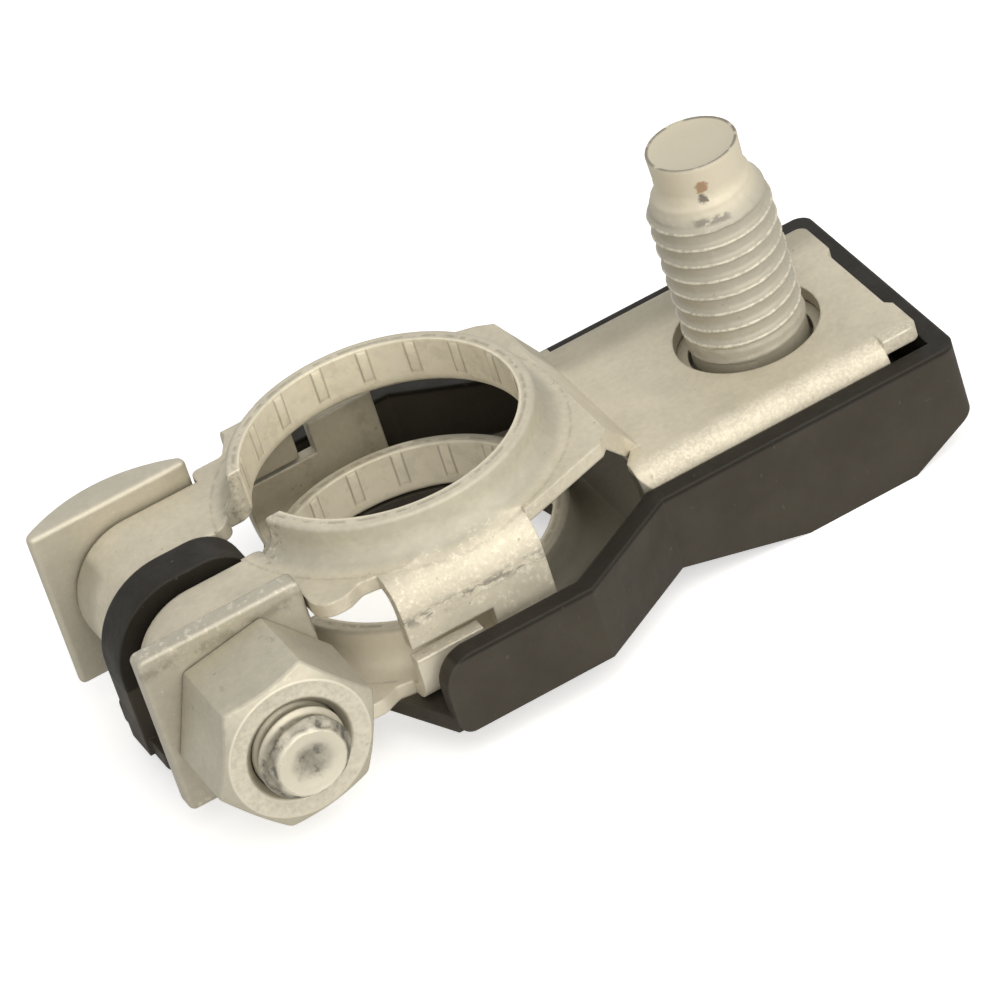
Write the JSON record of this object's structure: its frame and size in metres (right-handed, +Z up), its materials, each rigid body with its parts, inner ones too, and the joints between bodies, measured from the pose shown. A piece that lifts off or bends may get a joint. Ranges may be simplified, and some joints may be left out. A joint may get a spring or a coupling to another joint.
{
  "type": "battery terminal clamp",
  "caption": "Car battery terminal clamp of folded plated steel sheet with a square-headed M6 pinch bolt, square washer, nut, an upright M8 take-off stud and a black plastic insulating tray underneath.",
  "frame": {"origin": "axis of the battery post bore, at the height of the stud deck's top face", "axes": "+Z up along the post bore, +X towards the M8 stud, -Y towards the nut of the pinch bolt"},
  "size_m": [0.0561, 0.0327, 0.0236],
  "materials": {
    "plated_sheet": "satin",
    "plated_bolt": "satin",
    "black_plastic": "matte"
  },
  "bodies": {
    "clamp": {"clamp_body": "plated_sheet", "clamp_bolt": "plated_bolt", "terminal_stud": "plated_bolt", "insulating_tray": "black_plastic"},
    "washer": {"square_washer": "plated_bolt"},
    "nut": {"clamp_nut": "plated_bolt"}
  },
  "joints": [
    {"name": "washer_slide", "type": "slide", "parent": "clamp", "child": "washer", "axis": [0, -1, 0], "range_m": [0, 0.002]},
    {"name": "nut_turn", "type": "hinge", "parent": "washer", "child": "nut", "pos_m": [-0.01535, -0.0089, -0.0013], "axis": [0, -1, 0], "range_deg": [0, 720]}
  ],
  "couplings": [
    {"joint": "nut_turn", "follows": "washer_slide", "rad_per_m": 6283.2}
  ]
}
